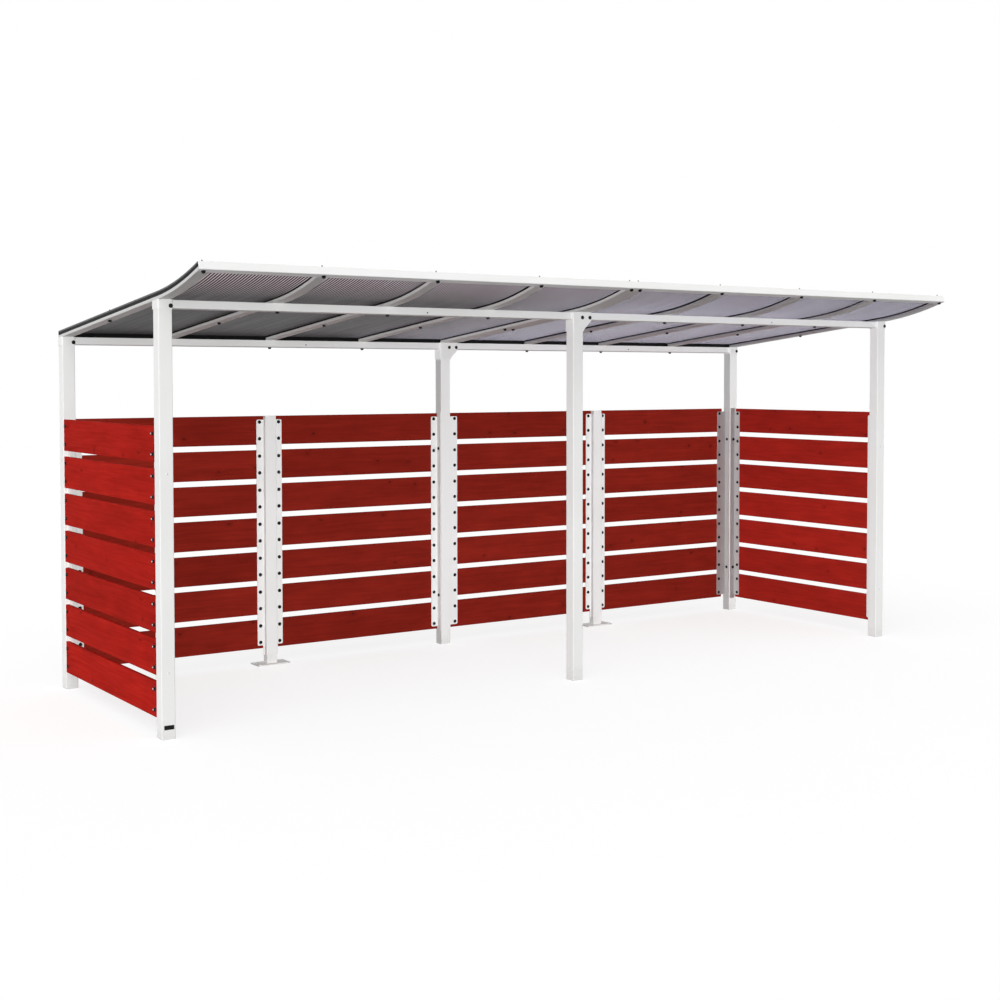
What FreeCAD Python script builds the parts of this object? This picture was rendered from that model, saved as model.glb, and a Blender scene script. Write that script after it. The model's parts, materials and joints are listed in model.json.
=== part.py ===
# Bicycle shelter of two bays: a steel frame, a roof that sweeps up at its front edge,
# and board panels along the back and at both ends. Lengths are in millimetres.
# While it is drawn, X runs along the front from the centre of the first post, Y runs
# from the front posts to the rear posts, and Z is up from the ground. At the end the
# whole is moved so that its origin is at the middle of its footprint, on the ground.
import FreeCAD, Part
import math
import os
from FreeCAD import Vector

# Posts and bays
post_side = 70.0
post_wall = 3.0
post_corner = 3.5
bay_pitch = 2500.0
frame_depth = 1478.0

# Beams that join the heads of the posts, tilted with the roof
rear_window = 467.0
roof_drop = 150.0
beam_height = 42.0
beam_depth = 40.0
beam_wall = 2.5
beam_corner = 4.0

# Head brackets
bracket_plate = 4.0
bracket_height = 47.5
roof_clearance = 0.3
gusset_reach = 92.0
gusset_drop = 63.0
gusset_heel = 9.0
gusset_toe = 4.0

# Rafters and the sweep of the roof
rafter_width = 60.0
rafter_height = 15.0
rafter_wall = 2.0
rafters_per_module = 5
front_overhang = 544.0
upsweep_start = 20.0
upsweep_radius = 2350.0
module_joint = 1.0

# Seals and sheets
seal_thickness = 9.0
seal_width = 60.0
closer_depth = 30.0
closer_clearance = 0.3
sheet_thickness = 16.0
sheet_joint = 3.0

# Fascia angle along the front edge
fascia_lip = 37.0
fascia_wall = 2.0
fascia_bend = 4.0
fascia_clearance = 1.0

# Boards
board_count = 7
board_height = 177.5
board_gap = 33.0
board_thickness = 20.0
board_edge = 2.0
board_ground_gap = 100.0
board_end_gap = 3.0
side_end_gap = 10.0

# Angle rails that carry the boards
rail_wall = 3.0
rail_leg = 45.0
flange_lift = 18.0
flange_drop = 22.5
leg_overrun = 27.0
bolt_inset = 26.0
bolt_edge = 20.0
flange_corner = 10.0
tongue_width = 12.0
tongue_drop = 61.0

# Stanchions on the back line, with base plates
stanchion_depth = 50.0
plate_length = 215.0
plate_depth = 115.0
plate_thickness = 8.0
anchor_hole = 12.0
anchor_edge = 20.0

# Sizes that follow from these
half_post = post_side / 2
module_length = bay_pitch + post_side
post_columns = [0.0, bay_pitch, bay_pitch + module_length]
stanchion_columns = [(a + b) / 2 for a, b in zip(post_columns, post_columns[1:])]
module_starts = [-half_post, module_length - half_post]
rear_line = frame_depth
rear_end = rear_line + half_post
stanchion_line = rear_end - stanchion_depth / 2
slope = math.atan2(roof_drop, frame_depth)
board_pitch = board_height + board_gap
board_top = board_ground_gap + board_count * board_pitch - board_gap
board_length = bay_pitch / 2 - post_side - 2 * board_end_gap
front_beam_top = board_top + rear_window + roof_drop
flange_bottom = board_ground_gap + flange_lift
flange_top = board_top - flange_drop
sheet_base = rafter_height + seal_thickness
roof_thickness = sheet_base + sheet_thickness


def roof_line(y, offset=0.0):
    """Height of the straight run of the roof above y, offset square to the rafters' underside."""
    return front_beam_top - math.tan(slope) * (y + beam_depth / 2) + offset / math.cos(slope)


# The upswept front is an arc that leaves the straight run without a kink
tangent_y = -upsweep_start
arc_y = tangent_y + upsweep_radius * math.sin(slope)
arc_z = roof_line(tangent_y) + upsweep_radius * math.cos(slope)
front_angle = math.asin((arc_y + front_overhang) / upsweep_radius)


def arc_point(angle, offset):
    """Point of the upswept front where its slope is angle."""
    radius = upsweep_radius - offset
    return Vector(0, arc_y - radius * math.sin(angle), arc_z - radius * math.cos(angle))


def roof_band(low, high, rear, front=front_angle):
    """Face between two offsets of the roof line, from the rear cut to the front end."""
    middle = (slope + front) / 2
    rear_low = Vector(0, rear, roof_line(rear, low))
    rear_high = Vector(0, rear, roof_line(rear, high))
    low_arc = Part.Arc(arc_point(slope, low), arc_point(middle, low), arc_point(front, low))
    high_arc = Part.Arc(arc_point(front, high), arc_point(middle, high), arc_point(slope, high))
    edges = [
        Part.LineSegment(rear_low, arc_point(slope, low)),
        low_arc,
        Part.LineSegment(arc_point(front, low), arc_point(front, high)),
        high_arc,
        Part.LineSegment(arc_point(slope, high), rear_high),
        Part.LineSegment(rear_high, rear_low),
    ]
    return Part.Face(Part.Wire([edge.toShape() for edge in edges]))


def along_x(face, start, length):
    """Solid swept from a face in the YZ plane."""
    solid = face.extrude(Vector(length, 0, 0))
    solid.translate(Vector(start, 0, 0))
    return solid


def polygon(points):
    """Face with straight sides."""
    return Part.Face(Part.makePolygon(points + points[:1]))


def block(low, high):
    """Box between two corners."""
    size = [b - a for a, b in zip(low, high)]
    return Part.makeBox(size[0], size[1], size[2], Vector(*low))


def round_edges(solid, radius, axis):
    """Round the outer edges that run along one axis."""
    chosen = []
    for edge in solid.Edges:
        ends = [vertex.Point for vertex in edge.Vertexes]
        if len(ends) == 2 and abs(abs((ends[1] - ends[0]).normalize().dot(axis)) - 1) < 1e-6:
            chosen.append(edge)
    return solid.makeFillet(radius, chosen)


def square_tube(low, high, wall, corner, axis):
    """Hollow section with rounded corners and open ends, along X or Z."""
    outer = round_edges(block(low, high), corner, axis)
    inset = [0.0 if axis.dot(unit) else wall for unit in (Vector(1, 0, 0), Vector(0, 1, 0), Vector(0, 0, 1))]
    inner_low = [a + d for a, d in zip(low, inset)]
    inner_high = [b - d for b, d in zip(high, inset)]
    inner = round_edges(block(inner_low, inner_high), corner - wall, axis)
    return outer.cut(inner)


X_AXIS = Vector(1, 0, 0)
Y_AXIS = Vector(0, 1, 0)
Z_AXIS = Vector(0, 0, 1)


def make_post(x, y):
    """Square tube from the ground to just under the roof."""
    low = (x - half_post, y - half_post, 0.0)
    high = (x + half_post, y + half_post, roof_line(y + half_post) - roof_clearance)
    return square_tube(low, high, post_wall, post_corner, Z_AXIS)


def make_stanchion(x, y):
    """Short post, narrower from front to back, with a cap and a drilled base plate."""
    half_depth = stanchion_depth / 2
    low = (x - half_post, y - half_depth, plate_thickness)
    high = (x + half_post, y + half_depth, board_top)
    tube = square_tube(low, high, post_wall, post_corner, Z_AXIS)
    inside = half_post - post_wall
    deep = half_depth - post_wall
    cap = block((x - inside, y - deep, board_top - post_wall), (x + inside, y + deep, board_top))
    cap = round_edges(cap, post_corner - post_wall, Z_AXIS)
    base = block((x - plate_length / 2, y - plate_depth / 2, 0.0),
                 (x + plate_length / 2, y + plate_depth / 2, plate_thickness))
    for side in (-1, 1):
        for end in (-1, 1):
            centre = Vector(x + side * (plate_length / 2 - anchor_edge),
                            y + end * (plate_depth / 2 - anchor_edge), 0.0)
            base = base.cut(Part.makeCylinder(anchor_hole / 2, plate_thickness, centre))
    return tube.fuse(cap).fuse(base)


def make_beam(start, end, y, top):
    """Rectangular tube between two head brackets, turned about its upper front edge to the roof's slope."""
    front = y - beam_depth / 2
    tube = square_tube((start, front, top - beam_height), (end, front + beam_depth, top),
                       beam_wall, beam_corner, X_AXIS)
    tube.rotate(Vector(start, front, top), X_AXIS, -math.degrees(slope))
    return tube


def make_bracket(x, y, beam_top, gusset):
    """Folded plate round the front and sides of a post head, with a gusset on a middle post."""
    outer = half_post + bracket_plate
    arm_bottom = beam_top - bracket_height
    bottom = arm_bottom - gusset_drop if gusset else arm_bottom
    front = y - outer
    back = y + half_post
    top = roof_line(y - half_post) - roof_clearance
    around = round_edges(block((x - outer, front, bottom), (x + outer, back + outer, top)),
                         post_corner + bracket_plate, Z_AXIS)
    inside = round_edges(block((x - half_post, y - half_post, bottom), (x + half_post, back + outer, top)),
                         post_corner, Z_AXIS)
    under_roof = polygon([
        Vector(0, front, bottom), Vector(0, back, bottom),
        Vector(0, back, roof_line(back) - roof_clearance), Vector(0, y - half_post, top),
        Vector(0, front, top),
    ])
    folded = around.cut(inside).common(along_x(under_roof, x - outer, 2 * outer))
    if gusset:
        end = x + gusset_reach
        outline = [
            Vector(x, front, top), Vector(end, front, top), Vector(end, front, arm_bottom),
            Vector(end - gusset_toe, front, arm_bottom - gusset_toe),
            Vector(x + outer, front, bottom + gusset_heel), Vector(x + outer, front, bottom),
            Vector(x, front, bottom),
        ]
        plate = polygon(outline).extrude(Vector(0, bracket_plate, 0))
        beam_face = y - beam_depth / 2 - beam_height * math.sin(slope) - roof_clearance
        hem = block((end - bracket_plate, front, arm_bottom), (end, beam_face, top))
        folded = folded.fuse(plate).fuse(hem)
    return folded.removeSplitter()


def front_point(out, up):
    """Point by its distance ahead of the rafters' front ends and above their undersides there."""
    forward = Vector(0, -math.cos(front_angle), math.sin(front_angle))
    upward = Vector(0, math.sin(front_angle), math.cos(front_angle))
    return arc_point(front_angle, 0.0) + forward * out + upward * up


def make_rafter(x):
    """Flat tube that follows the roof line, closed at its rear end and rebated at its front for the lip."""
    outer = along_x(roof_band(0.0, rafter_height, rear_end), x - rafter_width / 2, rafter_width)
    past_front = front_angle + rafter_wall / upsweep_radius
    cavity = roof_band(rafter_wall, rafter_height - rafter_wall, rear_end - rafter_wall, past_front)
    hollow = along_x(cavity, x - rafter_width / 2 + rafter_wall, rafter_width - 2 * rafter_wall)
    back = fascia_wall - fascia_lip
    rebate = polygon([front_point(back, -fascia_wall), front_point(fascia_wall, -fascia_wall),
                      front_point(fascia_wall, fascia_wall), front_point(back, fascia_wall)])
    return outer.cut(hollow).cut(along_x(rebate, x - rafter_width / 2, rafter_width))


def make_fascia(start, length):
    """Folded angle whose web covers the ends of the sheets and whose lip lies flush in the rafters."""
    face = fascia_clearance + fascia_wall
    back = face - fascia_lip
    outline = [
        front_point(back, 0.0), front_point(face, 0.0), front_point(face, roof_thickness),
        front_point(fascia_clearance, roof_thickness), front_point(fascia_clearance, fascia_wall),
        front_point(back, fascia_wall),
    ]
    angle = along_x(polygon(outline), start, length)
    for corner, radius in ((outline[1], fascia_bend), (outline[4], fascia_bend - fascia_wall)):
        fold = [edge for edge in angle.Edges
                if all(math.hypot(v.Y - corner.y, v.Z - corner.z) < 1e-6 for v in edge.Vertexes)]
        angle = angle.makeFillet(radius, fold)
    return angle


def module_span(module):
    """Start and length of the roof over one module, short of the joint between modules."""
    start = module_starts[module] + (module_joint / 2 if module else 0.0)
    return start, module_length - module_joint / 2


def rafter_columns(module):
    """Centres of the rafters: flush with the module at its ends, at equal parts between."""
    start, length = module_span(module)
    parts = rafters_per_module - 1
    inner = [module_starts[module] + module_length * n / parts for n in range(1, parts)]
    return [start + rafter_width / 2] + inner + [start + length - rafter_width / 2]


def make_sheets(module):
    """Sheets from rafter to rafter, with an open joint on each inner rafter."""
    start, length = module_span(module)
    edges = [start] + rafter_columns(module)[1:-1] + [start + length]
    band = roof_band(sheet_base, sheet_base + sheet_thickness, rear_end)
    sheets = []
    for n in range(len(edges) - 1):
        left = edges[n] + (sheet_joint / 2 if n else 0.0)
        right = edges[n + 1] - (sheet_joint / 2 if n < len(edges) - 2 else 0.0)
        sheets.append(along_x(band, left, right - left))
    return Part.makeCompound(sheets)


def make_seals():
    """Strips on the rafters, and closers between the rafters over the rear beams."""
    strip = roof_band(rafter_height, sheet_base, rear_end)
    low_y = rear_line - closer_depth / 2
    high_y = rear_line + closer_depth / 2
    closer = polygon([
        Vector(0, low_y, roof_line(low_y)), Vector(0, high_y, roof_line(high_y)),
        Vector(0, high_y, roof_line(high_y, sheet_base)), Vector(0, low_y, roof_line(low_y, sheet_base)),
    ])
    seals = []
    for module in (0, 1):
        columns = rafter_columns(module)
        for x in columns:
            seals.append(along_x(strip, x - seal_width / 2, seal_width))
        for x, following in zip(columns, columns[1:]):
            left = x + rafter_width / 2 + closer_clearance
            right = following - rafter_width / 2 - closer_clearance
            seals.append(along_x(closer, left, right - left))
    return Part.makeCompound(seals)


def make_rail(face, outward, backward, end_gap, stanchion=False):
    """Angle with its leg on a post and its flange behind the boards.

    On a stanchion the leg ends flush with the stanchion's front and a tongue runs down below it.

    face is on the ground, where the post's side meets the boards' inner faces, outward
    points from the post along the boards, and backward from the rail to the boards.
    """
    width = end_gap + bolt_inset + bolt_edge

    def at(out, z):
        return face + outward * out + Vector(0, 0, z)

    leg_bottom = flange_bottom - (tongue_drop if stanchion else leg_overrun)
    leg_top = flange_top + (0.0 if stanchion else leg_overrun)
    leg_depth = stanchion_depth - board_thickness if stanchion else rail_leg
    leg = polygon([at(0, leg_bottom), at(rail_wall, leg_bottom), at(rail_wall, leg_top), at(0, leg_top)])
    rail = leg.extrude(backward * -leg_depth)
    inner = width - flange_corner
    low = flange_bottom + flange_corner
    high = flange_top - flange_corner
    bow = flange_corner * math.sqrt(0.5)
    edges = [
        Part.LineSegment(at(0, flange_bottom), at(inner, flange_bottom)),
        Part.Arc(at(inner, flange_bottom), at(inner + bow, low - bow), at(width, low)),
        Part.LineSegment(at(width, low), at(width, high)),
        Part.Arc(at(width, high), at(inner + bow, high + bow), at(inner, flange_top)),
        Part.LineSegment(at(inner, flange_top), at(0, flange_top)),
        Part.LineSegment(at(0, flange_top), at(0, flange_bottom)),
    ]
    flange = Part.Face(Part.Wire([edge.toShape() for edge in edges]))
    rail = rail.fuse(flange.extrude(backward * -rail_wall))
    if stanchion:
        strip = polygon([at(0, leg_bottom), at(tongue_width, leg_bottom),
                         at(tongue_width, flange_bottom), at(0, flange_bottom)])
        rail = rail.fuse(strip.extrude(backward * -rail_wall))
    return rail.removeSplitter()


def make_boards(low, high):
    """Row of boards one above the other between two corners of its plan."""
    axis = X_AXIS if high[0] - low[0] > high[1] - low[1] else Y_AXIS
    boards = []
    for n in range(board_count):
        z = board_ground_gap + n * board_pitch
        board = block((low[0], low[1], z), (high[0], high[1], z + board_height))
        boards.append(round_edges(board, board_edge, axis))
    return Part.makeCompound(boards)


parts = {}
sides = ["left", "middle", "right"]
rows = {"front": (0.0, front_beam_top), "rear": (rear_line, front_beam_top - roof_drop)}

# Posts and the brackets on their heads
for row, (y, beam_top) in rows.items():
    for side, x in zip(sides, post_columns):
        parts["post_%s_%s" % (row, side)] = make_post(x, y)
        parts["head_bracket_%s_%s" % (row, side)] = make_bracket(x, y, beam_top, side == "middle")

# Beams from bracket to bracket
beam_inset = half_post + bracket_plate
for row, (y, beam_top) in rows.items():
    for n, side in enumerate(["left", "right"]):
        start = post_columns[n] + beam_inset
        end = post_columns[n + 1] - beam_inset
        parts["beam_%s_%s" % (row, side)] = make_beam(start, end, y, beam_top)

# Roof
for module, side in enumerate(["left", "right"]):
    for n, x in enumerate(rafter_columns(module)):
        parts["rafter_%s_%d" % (side, n + 1)] = make_rafter(x)
    parts["roof_sheets_%s" % side] = make_sheets(module)
parts["front_fascia"] = make_fascia(module_starts[0], 2 * module_length)
parts["roof_seals"] = make_seals()

# Rails are kept with the post that carries them
rails = {}


def add_rail(post, *description):
    rails.setdefault("rails_" + post, []).append(make_rail(*description))


# Back panels between the posts and the stanchions
board_back = rear_line + half_post
board_front = board_back - board_thickness
for bay, side in enumerate(["left", "right"]):
    stanchion = stanchion_columns[bay]
    parts["stanchion_%s" % side] = make_stanchion(stanchion, stanchion_line)
    for half, towards in enumerate([X_AXIS, X_AXIS * -1]):
        post_face = post_columns[bay + half] + towards.x * half_post
        stanchion_face = stanchion - towards.x * half_post
        near_end = stanchion_face - towards.x * board_end_gap
        far_end = near_end - towards.x * board_length
        add_rail("rear_" + sides[bay + half], Vector(post_face, board_front, 0), towards, Y_AXIS,
                 abs(far_end - post_face))
        add_rail("stanchion_" + side, Vector(stanchion_face, board_front, 0), towards * -1, Y_AXIS,
                 board_end_gap, True)
        ends = sorted([near_end, far_end])
        number = 2 * bay + half + 1
        parts["panel_back_%d" % number] = make_boards((ends[0], board_front), (ends[1], board_back))

# End panels between the front and rear posts
front_face = half_post
rear_face = rear_line - half_post
for side, x, outward in (("left", post_columns[0], X_AXIS * -1), ("right", post_columns[-1], X_AXIS)):
    outer = x + outward.x * half_post
    inner = outer - outward.x * board_thickness
    add_rail("front_" + side, Vector(inner, front_face, 0), Y_AXIS, outward, side_end_gap)
    add_rail("rear_" + side, Vector(inner, rear_face, 0), Y_AXIS * -1, outward, side_end_gap)
    spans = sorted([outer, inner])
    parts["panel_side_%s" % side] = make_boards((spans[0], front_face + side_end_gap),
                                                (spans[1], rear_face - side_end_gap))
for name, pair in rails.items():
    parts[name] = Part.makeCompound(pair)

# Origin at the middle of the footprint
bounds = Part.makeCompound(list(parts.values())).BoundBox
to_origin = Vector(-bounds.Center.x, -bounds.Center.y, 0)
os.makedirs("parts", exist_ok=True)
for name, shape in parts.items():
    shape.translated(to_origin).exportStep("parts/%s.step" % name)
    if not shape.isValid():
        print("not valid:", name)
print("nodes", len(parts), "size", [round(v, 1) for v in (bounds.XLength, bounds.YLength, bounds.ZLength)],
      "moved by", [round(v, 2) for v in to_origin], "front angle", round(math.degrees(front_angle), 2))
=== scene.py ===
import json
import math
import bpy
import bmesh
from mathutils import Matrix, Vector

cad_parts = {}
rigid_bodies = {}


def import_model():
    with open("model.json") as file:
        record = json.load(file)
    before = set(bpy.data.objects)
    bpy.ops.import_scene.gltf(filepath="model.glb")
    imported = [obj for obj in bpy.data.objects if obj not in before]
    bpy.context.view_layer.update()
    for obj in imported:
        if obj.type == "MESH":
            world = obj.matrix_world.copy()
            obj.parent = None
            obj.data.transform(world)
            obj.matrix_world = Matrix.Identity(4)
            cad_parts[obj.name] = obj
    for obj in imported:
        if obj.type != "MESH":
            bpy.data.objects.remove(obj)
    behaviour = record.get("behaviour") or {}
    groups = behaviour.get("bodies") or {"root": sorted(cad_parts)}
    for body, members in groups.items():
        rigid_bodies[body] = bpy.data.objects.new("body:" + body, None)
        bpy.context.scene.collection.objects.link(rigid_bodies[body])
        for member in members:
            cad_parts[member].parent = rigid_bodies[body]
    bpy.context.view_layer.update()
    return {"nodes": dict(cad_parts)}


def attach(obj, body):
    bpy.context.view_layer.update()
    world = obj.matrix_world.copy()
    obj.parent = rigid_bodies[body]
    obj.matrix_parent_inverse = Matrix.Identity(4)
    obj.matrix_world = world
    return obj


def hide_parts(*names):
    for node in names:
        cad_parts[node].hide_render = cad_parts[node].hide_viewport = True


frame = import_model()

nodes = frame["nodes"]

# The measures are in mm, with x and y from the front left post's centre and z from the ground. The frame is
# in metres, and its origin lies at X_MID, Y_MID.
MM = 0.001
X_MID = 2535.0
Y_MID = 499.87

# Posts, beams and head brackets
POST_HALF = 35.0
DEPTH = 1478.0
POSTS = [0.0, 2500.0, 5070.0]
BEAM_TOP = 2157.5
DROP = 150.0
BEAM_DEPTH = 40.0
BEAM_HEIGHT = 42.0
BRACKET = 4.0

# The roof line: a straight run at the slope of the two beams, and an arc before START_Y
SLOPE = math.atan2(DROP, DEPTH)
RADIUS = 2350.0
START_Y = -20.0
ARC_Y = START_Y + RADIUS * math.sin(SLOPE)
ARC_Z = BEAM_TOP - math.tan(SLOPE) * (START_Y + BEAM_DEPTH / 2) + RADIUS * math.cos(SLOPE)
FRONT_Y = -544.0
REAR_Y = DEPTH + POST_HALF

# The sheets lie between two offsets from the roof line, in two modules of five rafters. Their webs stand at
# every CELL from the roof's left end, but at least LEAST_CELL from the sides of a sheet.
SHEET_LOW = 24.0
SHEET_HIGH = 40.0
MODULES = [(-35.0, 2534.5), (2535.5, 5105.0)]
ROOF_LEFT = MODULES[0][0]
RAFTERS = [[-5.0, 607.5, 1250.0, 1892.5, 2504.5], [2565.5, 3177.5, 3820.0, 4462.5, 5075.0]]
SHEET_GAP = 3.0
CELL = 17.08
LEAST_CELL = 5.0
SKIN = 0.8
WEB = 0.6
ARC_STEPS = 16
STRAIGHT_YS = [480.0, 990.0]

# Boards and the rails that carry them
BOARD = 20.0
RAIL = 3.0
BOARD_LOW = 100.0
BOARD_HIGH = 177.5
BOARD_PITCH = 210.5
BOARDS = 7

# Places of bolts: on the boards, on the rails' legs, on the head brackets, and on rafters and beams
BOLT_RISE = 51.5
BACK_BOLTS = [64.0, 1186.0, 1314.0, 2436.0, 2599.0, 3721.0, 3849.0, 4971.0]
SIDE_BOLTS = [58.0, 1407.0]
LEG_BOLTS = [328.0, 1307.0]
BACK_LEG_Y = 1471.0
SIDE_LEG_INWARD = 2.0
BRACKET_BOLTS = [POSTS[0] + 27.0, POSTS[-1] + 27.0, POSTS[1] + 28.0, POSTS[1] + 82.0]
BRACKET_BOLT_DROP = 30.0
RAFTER_BOLTS = [-525.0, 739.0]
TIP_LENGTH = 16.0
RIVETS = [1488.0, 4058.0]
RIVET_DROP = 28.0

# The bare plate: its sides, its rounded corners, and its depth from behind the post's face to before it
PLATE_X = (-23.0, 28.0)
PLATE_Z = (49.0, 70.5)
PLATE_CORNER = 2.0
PLATE_RINGS = ((0.3, 0.0), (-0.9, 0.0), (-1.2, 0.4))

# The camera solved from the photograph, whose focal length is in pixels of its frame
CAMERA_AT = (-2713.1, -7062.8, 1777.9)
CAMERA_DOWN = 0.0347
CAMERA_TURN = 0.6151
FOCAL_PIXELS = 1499.3
FRAME_PIXELS = 1000
SENSOR = 36.0
SHIFT = (-0.0435, -0.0705)


def at(x, y, z):
    """Point in mm from the front left post's centre on the ground, as a point of the frame in metres."""
    return Vector(((x - X_MID) * MM, (y - Y_MID) * MM, z * MM))


def roof_point(y, offset=0.0):
    """y, z and slope of the roof line, at an offset square to the rafters' undersides."""
    if y >= START_Y:
        z = BEAM_TOP - math.tan(SLOPE) * (y + BEAM_DEPTH / 2)
        angle = SLOPE
    else:
        angle = math.asin((ARC_Y - y) / RADIUS)
        z = ARC_Z - RADIUS * math.cos(angle)
    return y + offset * math.sin(angle), z + offset * math.cos(angle), angle


# Shader nodes

def new_material(name):
    mat = bpy.data.materials.new(name)
    mat.use_nodes = True
    nt = mat.node_tree
    nt.nodes.clear()
    out = nt.nodes.new("ShaderNodeOutputMaterial")
    return mat, nt, out


def node(nt, kind, **values):
    n = nt.nodes.new("ShaderNode" + kind)
    for key, value in values.items():
        setattr(n, key, value)
    return n


def fill(nt, socket, value):
    """Give a socket a number, a colour or a link."""
    if isinstance(value, (int, float)):
        socket.default_value = value
    elif isinstance(value, tuple):
        socket.default_value = (value[0], value[1], value[2], 1.0)
    else:
        nt.links.new(value, socket)


def ramp(nt, source, stops):
    r = node(nt, "ValToRGB")
    e = r.color_ramp.elements
    while len(e) < len(stops):
        e.new(0.5)
    for el, (pos, col) in zip(e, stops):
        el.position = pos
        el.color = (col[0], col[1], col[2], 1.0)
    nt.links.new(source, r.inputs[0])
    return r.outputs[0]


def grey(v):
    return (v, v, v)


def calc(nt, operation, a, b=None, clamp=False):
    n = node(nt, "Math", operation=operation, use_clamp=clamp)
    fill(nt, n.inputs[0], a)
    if b is not None:
        fill(nt, n.inputs[1], b)
    return n.outputs[0]


def plus(nt, a, b, clamp=False):
    return calc(nt, "ADD", a, b, clamp)


def minus(nt, a, b, clamp=False):
    return calc(nt, "SUBTRACT", a, b, clamp)


def times(nt, a, b, clamp=False):
    return calc(nt, "MULTIPLY", a, b, clamp)


def over(nt, a, b):
    return calc(nt, "DIVIDE", a, b)


def mix(nt, fac, a, b, blend="MIX"):
    """Mix of two colours; each may be a socket or a plain colour."""
    n = node(nt, "Mix", data_type="RGBA", blend_type=blend)
    fill(nt, n.inputs[0], fac)
    fill(nt, n.inputs[6], a)
    fill(nt, n.inputs[7], b)
    return n.outputs[2]


def tinted(nt, colour, tint):
    return mix(nt, 1.0, colour, tint, "MULTIPLY")


def noise(nt, coords, scale, detail=3.0, rough=0.5):
    t = node(nt, "TexNoise")
    t.inputs["Scale"].default_value = scale
    t.inputs["Detail"].default_value = detail
    t.inputs["Roughness"].default_value = rough
    nt.links.new(coords, t.inputs["Vector"])
    return t.outputs["Fac"]


def combine(nt, x, y, z):
    n = node(nt, "CombineXYZ")
    for socket, value in zip(n.inputs, (x, y, z)):
        fill(nt, socket, value)
    return n.outputs[0]


def bump(nt, height, strength, distance):
    b = node(nt, "Bump")
    b.inputs["Strength"].default_value = strength
    b.inputs["Distance"].default_value = distance
    nt.links.new(height, b.inputs["Height"])
    return b.outputs["Normal"]


def shader(nt, out, colour, rough, normal, **fixed):
    p = node(nt, "BsdfPrincipled")
    nt.links.new(colour, p.inputs["Base Color"])
    nt.links.new(rough, p.inputs["Roughness"])
    nt.links.new(normal, p.inputs["Normal"])
    for key, value in fixed.items():
        p.inputs[key.replace("_", " ")].default_value = value
    nt.links.new(p.outputs[0], out.inputs[0])


def object_coords(nt):
    return node(nt, "TexCoord").outputs["Object"]


def split(nt, coords):
    s = node(nt, "SeparateXYZ")
    nt.links.new(coords, s.inputs[0])
    return s.outputs


def channels(nt, colour):
    s = node(nt, "SeparateColor")
    nt.links.new(colour, s.inputs[0])
    return s.outputs


# Materials

def powder_coat():
    """White powder coat on steel: orange peel, faint drifts of tone and gloss, and darker brownish speckles
    low down.
    """
    mat, nt, out = new_material("powder_coat_white")
    co = object_coords(nt)
    tone = ramp(nt, noise(nt, co, 2.3), [(0.3, (0.795, 0.795, 0.785)), (0.7, (0.835, 0.835, 0.83))])
    height = times(nt, split(nt, co)[2], 8.0)
    speck = noise(nt, co, 45.0, detail=4.0, rough=0.65)
    low_speckle = minus(nt, times(nt, speck, 1.5), height, clamp=True)
    low_speckled = mix(nt, times(nt, low_speckle, 0.35), tone, (0.52, 0.50, 0.47))
    peel = bump(nt, noise(nt, co, 380.0, detail=2.0), strength=0.10, distance=0.0005)
    rough = ramp(nt, noise(nt, co, 9.0), [(0.3, grey(0.50)), (0.7, grey(0.60))])
    shader(nt, out, low_speckled, rough, peel, Specular_IOR_Level=0.12)
    return mat


# In metres: the length of a back panel, how far left of the origin the first one starts, and the boards' rows
PANEL_STEP = 1.275
PANEL_START = 2.56
ROW_STEP = BOARD_PITCH * MM
ROW_START = (BOARD_LOW - (BOARD_PITCH - BOARD_HIGH) / 2) * MM


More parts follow.
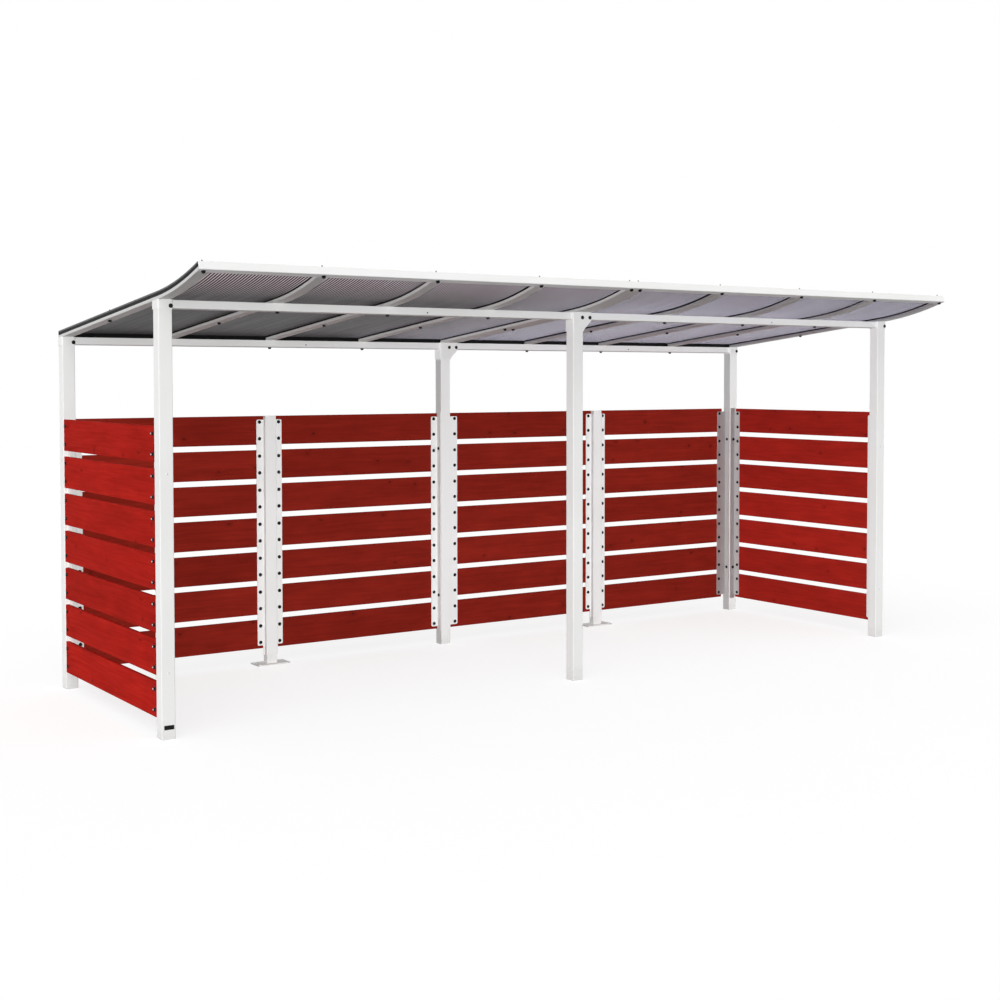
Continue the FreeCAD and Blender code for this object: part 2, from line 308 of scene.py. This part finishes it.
def stained_wood(name, along, stain_with_painted_light_and_shade):
    """Red stained boards with grain along x (0) or y (1); each board has its own grain, tone and knots."""
    mat, nt, out = new_material(name)
    xyz = split(nt, object_coords(nt))
    u, across, z = xyz[along], xyz[1 - along], xyz[2]

    def shade(tone):
        return tuple(tone * c for c in stain_with_painted_light_and_shade)

    # Each board has a chance value, which shifts the grain along it
    row = calc(nt, "FLOOR", over(nt, minus(nt, z, ROW_START), ROW_STEP))
    if along:
        panel = calc(nt, "FLOOR", xyz[0])
    else:
        panel = calc(nt, "FLOOR", over(nt, plus(nt, u, PANEL_START), PANEL_STEP))
    per_board = node(nt, "TexWhiteNoise", noise_dimensions="2D")
    nt.links.new(combine(nt, row, panel, 0.0), per_board.inputs["Vector"])
    chance = per_board.outputs["Value"]
    du = plus(nt, u, times(nt, chance, 40.0))

    # Knots: a few cells have a dark core, and a halo that bends the grain
    spots = node(nt, "TexVoronoi", voronoi_dimensions="2D", feature="F1")
    spots.inputs["Scale"].default_value = 1.0
    nt.links.new(combine(nt, times(nt, du, 4.3), times(nt, z, 6.2), 0.0), spots.inputs["Vector"])
    dist = spots.outputs["Distance"]
    pick = channels(nt, spots.outputs["Color"])
    here = calc(nt, "GREATER_THAN", pick[0], 0.66)
    knot_size = plus(nt, times(nt, pick[1], 0.035), 0.022)
    core = minus(nt, 1.0, over(nt, dist, knot_size), clamp=True)
    core = times(nt, times(nt, core, 1.8, clamp=True), here)
    halo = times(nt, minus(nt, 1.0, over(nt, dist, 0.26), clamp=True), here)

    # Grain and fibres, stretched along the board
    zz = plus(nt, z, times(nt, calc(nt, "POWER", halo, 2.0), 0.03))
    sway = noise(nt, combine(nt, times(nt, du, 1.4), times(nt, z, 3.0), row), 1.0, detail=2.0)
    zz = plus(nt, zz, times(nt, sway, 0.05))
    rings = combine(nt, times(nt, du, 3.2), times(nt, zz, 78.0), times(nt, across, 78.0))
    grain = noise(nt, rings, 1.0, detail=5.0, rough=0.6)
    fibres = combine(nt, times(nt, du, 9.0), times(nt, zz, 520.0), times(nt, across, 520.0))
    fine = noise(nt, fibres, 1.0, detail=2.0, rough=0.6)
    patches = combine(nt, times(nt, du, 3.5), times(nt, z, 9.0), row)
    cloud = noise(nt, patches, 1.0, rough=0.6)

    base = ramp(nt, grain, [(0.30, shade(0.86)), (0.50, shade(1.05)), (0.72, shade(1.24))])
    base = mix(nt, times(nt, fine, 0.45), base, shade(0.60))
    base = tinted(nt, base, ramp(nt, cloud, [(0.3, grey(0.86)), (0.7, grey(1.09))]))
    base = tinted(nt, base, ramp(nt, chance, [(0.0, grey(0.88)), (1.0, grey(1.10))]))
    base = mix(nt, times(nt, calc(nt, "POWER", halo, 3.0), 0.5), base, shade(0.42))
    base = mix(nt, times(nt, core, 0.65), base, (0.030, 0.0060, 0.0050))
    rough = ramp(nt, grain, [(0.3, grey(0.72)), (0.7, grey(0.60))])
    relief = plus(nt, times(nt, grain, 0.6), times(nt, fine, 0.5))
    relief = minus(nt, relief, times(nt, core, 0.6))
    relief = bump(nt, relief, strength=0.35, distance=0.0008)
    shader(nt, out, base, rough, relief, Specular_IOR_Level=0.02)
    return mat


def multiwall():
    """Smoked multiwall sheet: a dark line over each web and pale cells between, which are painted shade of
    the webs and painted light coming through the cells.

    Underneath, painted shade darkens the sheet towards the left and just behind the front beam, and painted
    light makes it lighter and bluer towards the right."""
    mat, nt, out = new_material("multiwall_smoke")
    co = object_coords(nt)
    xyz = split(nt, co)
    left_end = (X_MID - ROOF_LEFT) * MM

    # Lines and cells: away is 0 in the middle of a cell and 0.5 over a web. The dark lines are painted shade
    # of the webs and the pale cells are painted light coming through the sheet
    cells = over(nt, plus(nt, xyz[0], left_end), CELL * MM)
    away = calc(nt, "ABSOLUTE", minus(nt, calc(nt, "FRACT", cells), 0.5))
    painted_web_shade_and_cell_light = ramp(nt, away, [(0.0, (0.90, 0.86, 0.89)), (0.14, (0.84, 0.80, 0.84)),
                            (0.22, (0.030, 0.027, 0.027)), (0.5, (0.010, 0.009, 0.009))])
    number = node(nt, "TexWhiteNoise", noise_dimensions="1D")
    nt.links.new(calc(nt, "FLOOR", cells), number.inputs["W"])
    colour = tinted(nt, painted_web_shade_and_cell_light, ramp(nt, number.outputs["Value"], [(0.0, grey(0.86)), (1.0, grey(1.0))]))
    drawn = combine(nt, times(nt, xyz[0], 26.0), times(nt, xyz[1], 0.7), 0.0)
    streaks = noise(nt, drawn, 1.0, rough=0.6)
    colour = tinted(nt, colour, ramp(nt, streaks, [(0.3, (0.84, 0.82, 0.83)), (0.7, grey(1.0))]))

    # The walls at the sides of a sheet are plain
    normal = split(nt, node(nt, "NewGeometry").outputs["Normal"])
    wall = calc(nt, "GREATER_THAN", calc(nt, "ABSOLUTE", normal[0]), 0.7)
    wall_tone = ramp(nt, noise(nt, co, 30.0), [(0.3, (0.19, 0.19, 0.20)), (0.7, (0.27, 0.27, 0.28))])
    colour = mix(nt, wall, colour, wall_tone)

    # Painted shade and painted light underneath, along the roof, before and behind the front beam: darker
    # towards the left, lighter and bluer towards the right
    length = over(nt, plus(nt, xyz[0], left_end), 2 * left_end)
    painted_tone_behind_beam = ramp(nt, length, [(0.0, grey(0.08)), (0.33, grey(0.13)), (0.42, (0.42, 0.42, 0.45)),
                             (0.6, (0.85, 0.87, 1.0)), (1.0, (0.80, 0.82, 0.95))])
    front = ramp(nt, length, [(0.0, (0.68, 0.63, 0.63)), (0.4, (0.68, 0.65, 0.68)),
                              (0.7, (0.74, 0.76, 0.86))])
    behind = times(nt, plus(nt, xyz[1], 0.95), 2.3, clamp=True)
    painted_underside_light_and_shade = mix(nt, behind, front, painted_tone_behind_beam)
    under = calc(nt, "LESS_THAN", normal[2], 0.0)
    colour = mix(nt, under, colour, tinted(nt, colour, painted_underside_light_and_shade))

    rough = ramp(nt, streaks, [(0.3, grey(0.32)), (0.7, grey(0.42))])
    wave = times(nt, calc(nt, "COSINE", times(nt, cells, 2 * math.pi)), 0.5)
    ribs = bump(nt, wave, strength=0.2, distance=0.0005)
    shader(nt, out, colour, rough, ribs, Specular_IOR_Level=0.015)
    return mat


def rubber():
    """Black seal: matt, slightly mottled, with fine grain."""
    mat, nt, out = new_material("seal_black")
    co = object_coords(nt)
    tone = ramp(nt, noise(nt, co, 14.0, detail=4.0), [(0.3, grey(0.010)), (0.7, grey(0.019))])
    rough = ramp(nt, noise(nt, co, 60.0), [(0.3, grey(0.55)), (0.7, grey(0.72))])
    grain = bump(nt, noise(nt, co, 900.0, detail=2.0), strength=0.3, distance=0.0003)
    shader(nt, out, tone, rough, grain, Specular_IOR_Level=0.15)
    return mat


def black_steel():
    """Black oxide on bolt heads, rubbed a little paler in places."""
    mat, nt, out = new_material("bolt_black")
    co = object_coords(nt)
    rubbed = noise(nt, co, 260.0, detail=4.0, rough=0.6)
    tone = ramp(nt, rubbed, [(0.35, grey(0.006)), (0.75, grey(0.020))])
    rough = ramp(nt, noise(nt, co, 120.0), [(0.3, grey(0.38)), (0.7, grey(0.52))])
    grain = bump(nt, noise(nt, co, 1500.0, detail=2.0), strength=0.2, distance=0.0002)
    shader(nt, out, tone, rough, grain, Specular_IOR_Level=0.12)
    return mat


def zinc(name, low, high, metal):
    """Zinc on bolt ends: metal with small crystals of tone."""
    mat, nt, out = new_material(name)
    co = object_coords(nt)
    crystals = node(nt, "TexVoronoi")
    crystals.inputs["Scale"].default_value = 700.0
    nt.links.new(co, crystals.inputs["Vector"])
    shine = channels(nt, crystals.outputs["Color"])[0]
    tone = ramp(nt, shine, [(0.0, grey(low)), (1.0, grey(high))])
    rough = ramp(nt, noise(nt, co, 300.0), [(0.3, grey(0.28)), (0.7, grey(0.42))])
    grain = bump(nt, noise(nt, co, 1200.0, detail=2.0), strength=0.2, distance=0.0002)
    shader(nt, out, tone, rough, grain, Metallic=metal)
    return mat


def plate_black():
    """Bare black plate on the foot of one post: satin plastic with fine scratches."""
    mat, nt, out = new_material("plate_black")
    xyz = split(nt, object_coords(nt))
    drawn = combine(nt, times(nt, xyz[0], 60.0), times(nt, xyz[1], 60.0), times(nt, xyz[2], 2400.0))
    scratches = noise(nt, drawn, 1.0, rough=0.6)
    tone = ramp(nt, scratches, [(0.35, grey(0.004)), (0.75, grey(0.012))])
    rough = ramp(nt, scratches, [(0.3, grey(0.42)), (0.7, grey(0.6))])
    relief = bump(nt, scratches, strength=0.15, distance=0.0002)
    shader(nt, out, tone, rough, relief, Specular_IOR_Level=0.1)
    return mat


PAINT = powder_coat()
# The three stains are lit and shaded copies of one stained wood: the back's is darkened as painted shade
# under the roof, and the left side's is lighter than the right side's as painted light.
WOOD_BACK_SHADED = stained_wood("stained_wood_back_painted_shade", 0, (0.255, 0.0175, 0.0104))
WOOD_SIDES = {"left": stained_wood("stained_wood_left_painted_light", 1, (0.405, 0.0125, 0.0074)),
              "right": stained_wood("stained_wood_right", 1, (0.360, 0.0180, 0.0120))}
SHEET = multiwall()
SEAL = rubber()
BLACK = black_steel()
ZINC = zinc("bolt_zinc", 0.56, 0.72, 0.85)
DULL_ZINC = zinc("tip_zinc", 0.16, 0.24, 0.3)
PLATE = plate_black()


def assign(obj, mat):
    obj.data.materials.clear()
    obj.data.materials.append(mat)


for name, obj in nodes.items():
    if name.startswith("panel_back"):
        assign(obj, WOOD_BACK_SHADED)
    elif name.startswith("panel_side"):
        assign(obj, WOOD_SIDES[name.split("_")[-1]])
    elif name.startswith("roof_sheets"):
        assign(obj, SHEET)
    elif name == "roof_seals":
        assign(obj, SEAL)
    else:
        assign(obj, PAINT)


# Pieces added to the frame

def new_piece(name, bm, mat, smooth):
    """Object from a bmesh, riding on the shelter; edges sharper than smooth (degrees) stay sharp."""
    bmesh.ops.recalc_face_normals(bm, faces=bm.faces)
    mesh = bpy.data.meshes.new(name)
    bm.to_mesh(mesh)
    bm.free()
    obj = bpy.data.objects.new(name, mesh)
    bpy.context.scene.collection.objects.link(obj)
    mesh.materials.append(mat)
    for poly in mesh.polygons:
        poly.use_smooth = True
    mesh.set_sharp_from_angle(angle=math.radians(smooth))
    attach(obj, "root")
    return obj


def frame_on(origin, direction):
    """Matrix whose z axis runs along direction, in metres."""
    return Matrix.Translation(origin) @ direction.to_track_quat("Z", "Y").to_matrix().to_4x4()


def turned(bm, profile, matrix, segments):
    """Closed turned form from (radius, height, hexagon) rings in mm; a ring of radius 0 is a point."""
    rings = []
    for radius, height, hexagon in profile:
        if radius == 0:
            rings.append([bm.verts.new(matrix @ Vector((0, 0, height * MM)))])
            continue
        ring = []
        for n in range(segments):
            a = 2 * math.pi * n / segments
            r = radius
            if hexagon:
                r = radius * math.cos(math.pi / 6) / math.cos((a % (math.pi / 3)) - math.pi / 6)
            point = Vector((r * math.cos(a) * MM, r * math.sin(a) * MM, height * MM))
            ring.append(bm.verts.new(matrix @ point))
        rings.append(ring)
    for low, high in zip(rings, rings[1:]):
        for n in range(segments):
            m = (n + 1) % segments
            if len(low) == 1:
                bm.faces.new((low[0], high[n], high[m]))
            elif len(high) == 1:
                bm.faces.new((low[n], low[m], high[0]))
            else:
                bm.faces.new((low[n], low[m], high[m], high[n]))


BUTTON_HEAD = [(0, -0.4, 0), (11.0, -0.4, 0), (11.2, 0.4, 0), (11.0, 1.3, 0), (9.8, 3.4, 0), (7.7, 5.2, 0),
               (5.8, 5.9, 0), (4.6, 5.9, 1), (4.4, 5.6, 1), (4.4, 2.6, 1), (0, 2.0, 0)]
CAP_HEAD = [(0, -0.4, 0), (11.0, -0.4, 0), (11.2, 0.3, 0), (11.0, 1.6, 0), (9.4, 1.8, 0), (9.4, 6.4, 0),
            (8.6, 8.6, 0), (6.6, 10.2, 0), (3.6, 11.0, 0), (0, 11.2, 0)]
NUT = [(0, -0.4, 0), (10.8, -0.4, 0), (11.0, 0.3, 0), (10.8, 1.4, 0), (8.6, 1.5, 1), (9.0, 2.0, 1),
       (9.0, 6.4, 1), (8.0, 7.2, 1), (4.6, 7.3, 0), (0, 7.3, 0)]
BOLT_END = [(0, 0.0, 0), (4.0, 0.0, 0), (4.0, 9.2, 0), (3.2, 10.0, 0), (0, 10.0, 0)]
PLUG = [(0, -0.3, 0), (5.2, -0.3, 0), (5.2, 0.5, 0), (4.2, 1.3, 0), (2.2, 1.7, 0), (0, 1.8, 0)]
RIVET = [(0, -0.3, 0), (4.0, -0.3, 0), (4.0, 0.4, 0), (3.2, 1.3, 0), (1.4, 1.7, 0), (0, 1.8, 0)]
# A threaded end on a small washer
TIP = [(0, -0.4, 0), (7.5, -0.4, 0), (7.5, 1.0, 0), (3.4, 1.3, 0), (3.4, TIP_LENGTH - 1.2, 0),
       (2.4, TIP_LENGTH, 0), (0, TIP_LENGTH, 0)]


def fasteners(name, profile, places, mat, segments=18):
    bm = bmesh.new()
    for origin, direction in places:
        turned(bm, profile, frame_on(origin, direction), segments)
    return new_piece(name, bm, mat, smooth=35)


def sheet_point(x, y, offset):
    """Point of a sheet, whose rear end is cut upright."""
    if y == REAR_Y:
        z = BEAM_TOP - math.tan(SLOPE) * (y + BEAM_DEPTH / 2) + offset / math.cos(SLOPE)
        return at(x, y, z)
    sheet_y, z, _ = roof_point(y, offset)
    return at(x, sheet_y, z)


def roof_sheets(name, module):
    """Multiwall sheets of one module: two skins joined by webs, open cells at both ends."""
    start, end = MODULES[module]
    inner = RAFTERS[module][1:-1]
    cuts = [start] + [c + s for c in inner for s in (-SHEET_GAP / 2, SHEET_GAP / 2)] + [end]
    ys = [FRONT_Y + (START_Y - FRONT_Y) * n / ARC_STEPS for n in range(ARC_STEPS)]
    ys += [START_Y] + STRAIGHT_YS + [REAR_Y]
    # The middle level divides the walls at the sheets' sides, whose lower half shows the black seal
    levels = (SHEET_LOW, SHEET_LOW + SKIN, (SHEET_LOW + SHEET_HIGH) / 2, SHEET_HIGH - SKIN, SHEET_HIGH)
    top = len(levels) - 1
    seal_index = 1

    bm = bmesh.new()
    for left, right in zip(cuts[::2], cuts[1::2]):
        first = math.ceil((left + LEAST_CELL - ROOF_LEFT) / CELL)
        last = math.floor((right - LEAST_CELL - ROOF_LEFT) / CELL)
        webs = [(left, left + 2 * WEB)]
        for k in range(first, last + 1):
            c = ROOF_LEFT + k * CELL
            webs.append((c - WEB / 2, c + WEB / 2))
        webs.append((right - 2 * WEB, right))
        xs = [x for pair in webs for x in pair]
        grid = [[[bm.verts.new(sheet_point(x, y, level)) for level in levels] for x in xs] for y in ys]
        for j in range(len(ys) - 1):
            a, b = grid[j], grid[j + 1]
            for i in range(len(xs) - 1):
                bm.faces.new((a[i][0], a[i + 1][0], b[i + 1][0], b[i][0]))
                bm.faces.new((a[i][top], b[i][top], b[i + 1][top], a[i + 1][top]))
                if i % 2:
                    bm.faces.new((a[i][1], b[i][1], b[i + 1][1], a[i + 1][1]))
                    bm.faces.new((a[i][3], a[i + 1][3], b[i + 1][3], b[i][3]))
                    for k in (1, 2):
                        bm.faces.new((a[i][k], a[i][k + 1], b[i][k + 1], b[i][k]))
                        bm.faces.new((a[i + 1][k], b[i + 1][k], b[i + 1][k + 1], a[i + 1][k + 1]))
            for i in (0, len(xs) - 1):
                for k in range(top):
                    wall = bm.faces.new((a[i][k], b[i][k], b[i][k + 1], a[i][k + 1]))
                    wall.material_index = seal_index if k < 2 else 0
        for row in (grid[0], grid[-1]):
            for i in range(len(xs) - 1):
                for k in range(top):
                    open_cell = i % 2 and k in (1, 2)
                    if not open_cell:
                        bm.faces.new((row[i][k], row[i + 1][k], row[i + 1][k + 1], row[i][k + 1]))
    sheets = new_piece(name, bm, SHEET, smooth=20)
    sheets.data.materials.append(SEAL)
    return sheets


for module, side in enumerate(("left", "right")):
    sheets = roof_sheets("multiwall_" + side, module)
    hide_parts("roof_sheets_" + side)


# Bolts that carry the boards, two to each board at each rail, with nuts behind
LEFT = Vector((-1, 0, 0))
RIGHT = Vector((1, 0, 0))
FRONT = Vector((0, -1, 0))
BACK = Vector((0, 1, 0))
board_middles = [BOARD_LOW + n * BOARD_PITCH + BOARD_HIGH / 2 for n in range(BOARDS)]
board_rows = [z + s for z in board_middles for s in (-BOLT_RISE, BOLT_RISE)]


def board_bolts(side, heads, nuts):
    fasteners("board_bolts_" + side, BUTTON_HEAD, heads, BLACK)
    fasteners("board_nuts_" + side, NUT, nuts, BLACK)
    fasteners("board_bolt_ends_" + side, BOLT_END, nuts, ZINC, segments=12)


places = [(x, z) for x in BACK_BOLTS for z in board_rows]
board_bolts("back", [(at(x, REAR_Y - BOARD - RAIL, z), FRONT) for x, z in places],
            [(at(x, REAR_Y, z), BACK) for x, z in places])
places = [(y, z) for y in SIDE_BOLTS for z in board_rows]
for side, outward, post in (("left", -1, POSTS[0]), ("right", 1, POSTS[-1])):
    rail_face = post + outward * (POST_HALF - BOARD - RAIL)
    board_face = post + outward * POST_HALF
    board_bolts(side, [(at(rail_face, y, z), RIGHT * -outward) for y, z in places],
                [(at(board_face, y, z), RIGHT * outward) for y, z in places])

# Bolts through the rails' legs and the posts
legs = []
leg_ends = []
for z in LEG_BOLTS:
    for n, post in enumerate(POSTS):
        if n < 2:
            legs.append((at(post + POST_HALF + RAIL, BACK_LEG_Y, z), RIGHT))
        if n > 0:
            legs.append((at(post - POST_HALF - RAIL, BACK_LEG_Y, z), LEFT))
    leg_ends.append((at(POSTS[0] - POST_HALF, BACK_LEG_Y, z), LEFT))
    leg_ends.append((at(POSTS[-1] + POST_HALF, BACK_LEG_Y, z), RIGHT))
    for x in (POSTS[0] + SIDE_LEG_INWARD, POSTS[-1] - SIDE_LEG_INWARD):
        legs.append((at(x, POST_HALF + RAIL, z), BACK))
        legs.append((at(x, DEPTH - POST_HALF - RAIL, z), FRONT))
        leg_ends.append((at(x, -POST_HALF, z), FRONT))
        leg_ends.append((at(x, DEPTH + POST_HALF, z), BACK))
fasteners("rail_leg_bolts", BUTTON_HEAD, legs, BLACK)
fasteners("rail_leg_bolt_ends", PLUG, leg_ends, ZINC, segments=16)

# Bolts in the front faces of the head brackets, at the front and the rear beams
beam_lines = ((0.0, BEAM_TOP), (DEPTH, BEAM_TOP - DROP))
bracket_heads = [(at(x, y - POST_HALF - BRACKET, top - BRACKET_BOLT_DROP), FRONT)
                 for y, top in beam_lines for x in BRACKET_BOLTS]
fasteners("head_bracket_bolts", BUTTON_HEAD, bracket_heads, BLACK)

# Bolts of the rafters: under the fascia's lip and under the rafters, with tips above the sheets
under = []
tips = []
for row in RAFTERS:
    for x in row:
        for y in RAFTER_BOLTS:
            low_y, low_z, angle = roof_point(y)
            high_y, high_z, _ = roof_point(y, SHEET_HIGH)
            up = Vector((0, math.sin(angle), math.cos(angle)))
            under.append((at(x, low_y, low_z), -up))
            tips.append((at(x, high_y, high_z), up))
fasteners("rafter_bolts", CAP_HEAD, under, BLACK)
fasteners("roof_bolt_tips", TIP, tips, DULL_ZINC, segments=14)

# Bolts that hold the rafters from the undersides of the beams, and rivets in the beams' front faces. The
# beams lie at the roof's slope, and edge is the top of a beam's front face.
beam_bolts = []
beam_rivets = []
along = Vector((0, math.cos(SLOPE), -math.sin(SLOPE)))
down = Vector((0, -math.sin(SLOPE), -math.cos(SLOPE)))
for y, top in beam_lines:
    edge = Vector((0, y - BEAM_DEPTH / 2, top))
    middle = edge + along * (BEAM_DEPTH / 2) + down * BEAM_HEIGHT
    front = edge + down * RIVET_DROP
    for row in RAFTERS:
        for x in row[1:-1]:
            beam_bolts.append((at(x, middle.y, middle.z), down))
    for x in RIVETS:
        beam_rivets.append((at(x, front.y, front.z), -along))
fasteners("beam_bolts", CAP_HEAD, beam_bolts, BLACK)
fasteners("beam_rivets", RIVET, beam_rivets, BLACK, segments=14)


def bare_plate():
    """Plate with rounded corners on the front face of the front left post's foot."""
    bm = bmesh.new()
    left, right = PLATE_X[0] + PLATE_CORNER, PLATE_X[1] - PLATE_CORNER
    low, high = PLATE_Z[0] + PLATE_CORNER, PLATE_Z[1] - PLATE_CORNER
    outline = []
    for cx, cz, first in ((right, high, 0), (left, high, 90), (left, low, 180), (right, low, 270)):
        for step in range(5):
            a = math.radians(first + 22.5 * step)
            outline.append((cx + PLATE_CORNER * math.cos(a), cz + PLATE_CORNER * math.sin(a)))
    centre = (sum(PLATE_X) / 2, sum(PLATE_Z) / 2)
    rings = []
    for depth, inset in PLATE_RINGS:
        ring = []
        for x, z in outline:
            dx, dz = centre[0] - x, centre[1] - z
            size = math.hypot(dx, dz)
            point = at(x + dx / size * inset, depth - POST_HALF, z + dz / size * inset)
            ring.append(bm.verts.new(point))
        rings.append(ring)
    for low_ring, high_ring in zip(rings, rings[1:]):
        for n in range(len(outline)):
            m = (n + 1) % len(outline)
            bm.faces.new((low_ring[n], low_ring[m], high_ring[m], high_ring[n]))
    bm.faces.new(rings[0])
    bm.faces.new(rings[-1])
    return new_piece("foot_plate", bm, PLATE, smooth=40)


bare_plate()

# Stage and light
FLOOR_SIZE = 60
FLOOR_ALBEDO = 0.36
FLOOR_SHOWN = 0.75
WORLD_LIGHT = 0.42
# Name, power, angle across in degrees, direction towards the lamp, whether it casts shadows, and what it
# leaves out or keeps to. The low fill stays off the roof, the steel along the back has a fill more from the
# front, the light from below is for the sheets alone, and the one from the side is for the left rafters and
# the far corner's rails.
ROOF = ("rafter", "roof", "multiwall")
INNER = ("stanchion", "rails_stanchion", "rails_rear_middle", "post_rear_middle", "post_rear_right")
CORNER = ("rails_rear_right",)
SUNS = [
    ("soft_fill", 2.5, 40.0, (-0.70, -0.70, 0.10), False, ("EXCLUDE", ROOF + INNER + CORNER)),
    ("soft_inner", 2.4, 40.0, (-0.35, -0.90, 0.26), False, ("INCLUDE", INNER)),
    ("soft_top", 0.8, 50.0, (-0.50, -0.45, 0.74), True, None),
    ("soft_under", 4.0, 60.0, (0.0, -0.20, -0.98), False, ("INCLUDE", ("multiwall",))),
    ("soft_side", 0.9, 40.0, (-1.0, 0.0, 0.0), False, ("INCLUDE", ("rafter_left",) + CORNER)),
]


def seen_straight(nt):
    """1 for the camera's rays and for rays seen in metal or through glass, else 0."""
    path = node(nt, "LightPath")
    seen = calc(nt, "MAXIMUM", path.outputs["Is Camera Ray"], path.outputs["Is Glossy Ray"])
    return calc(nt, "MAXIMUM", seen, path.outputs["Is Transmission Ray"])


def emission(nt, strength):
    glow = node(nt, "Emission")
    glow.inputs["Strength"].default_value = strength
    return glow.outputs[0]


def pale_floor():
    """Floor that looks pale, keeps the object's shadow and throws little light back."""
    bpy.ops.mesh.primitive_plane_add(size=FLOOR_SIZE, location=(0, 0, 0))
    floor = bpy.context.object
    floor.name = "floor"
    mat, nt, out = new_material("floor_pale")
    tone = ramp(nt, noise(nt, object_coords(nt), 0.8),
                [(0.3, grey(FLOOR_ALBEDO * 0.985)), (0.7, grey(FLOOR_ALBEDO))])
    diffuse = node(nt, "BsdfDiffuse")
    nt.links.new(tone, diffuse.inputs["Color"])
    pick = node(nt, "MixShader")
    nt.links.new(seen_straight(nt), pick.inputs[0])
    nt.links.new(emission(nt, 0.0), pick.inputs[1])
    nt.links.new(emission(nt, FLOOR_SHOWN), pick.inputs[2])
    both = node(nt, "AddShader")
    nt.links.new(diffuse.outputs[0], both.inputs[0])
    nt.links.new(pick.outputs[0], both.inputs[1])
    nt.links.new(both.outputs[0], out.inputs[0])
    assign(floor, mat)


def studio_world():
    """White where it is seen, dimmer as light."""
    world = bpy.data.worlds.new("studio")
    bpy.context.scene.world = world
    world.use_nodes = True
    nt = world.node_tree
    back = nt.nodes["Background"]
    back.inputs[0].default_value = (1, 1, 1, 1)
    level = plus(nt, times(nt, seen_straight(nt), 1.0 - WORLD_LIGHT), WORLD_LIGHT)
    nt.links.new(level, back.inputs[1])


def soft_sun(name, power, width, towards, shadows, lit):
    light = bpy.data.lights.new(name, "SUN")
    light.energy = power
    light.angle = math.radians(width)
    light.use_shadow = shadows
    sun = bpy.data.objects.new(name, light)
    if lit:
        state, starts = lit
        pieces = bpy.data.collections.new(name + "_pieces")
        for obj in bpy.context.scene.objects:
            if obj.name.startswith(starts):
                pieces.objects.link(obj)
        for entry in pieces.collection_objects:
            entry.light_linking.link_state = state
        sun.light_linking.receiver_collection = pieces
    bpy.context.scene.collection.objects.link(sun)
    sun.rotation_euler = Vector(towards).to_track_quat("Z", "Y").to_euler()


pale_floor()
studio_world()
for sun in SUNS:
    soft_sun(*sun)

# Camera at the photograph's viewing angle
scene = bpy.context.scene
scene.view_settings.view_transform = "Standard"
cam_data = bpy.data.cameras.new("camera")
camera = bpy.data.objects.new("camera", cam_data)
scene.collection.objects.link(camera)
cam_data.sensor_width = SENSOR
cam_data.lens = FOCAL_PIXELS / FRAME_PIXELS * SENSOR
cam_data.shift_x, cam_data.shift_y = SHIFT
cam_data.clip_end = 200.0
camera.location = at(*CAMERA_AT)
camera.rotation_euler = (math.pi / 2 - CAMERA_DOWN, 0, -CAMERA_TURN)
scene.camera = camera
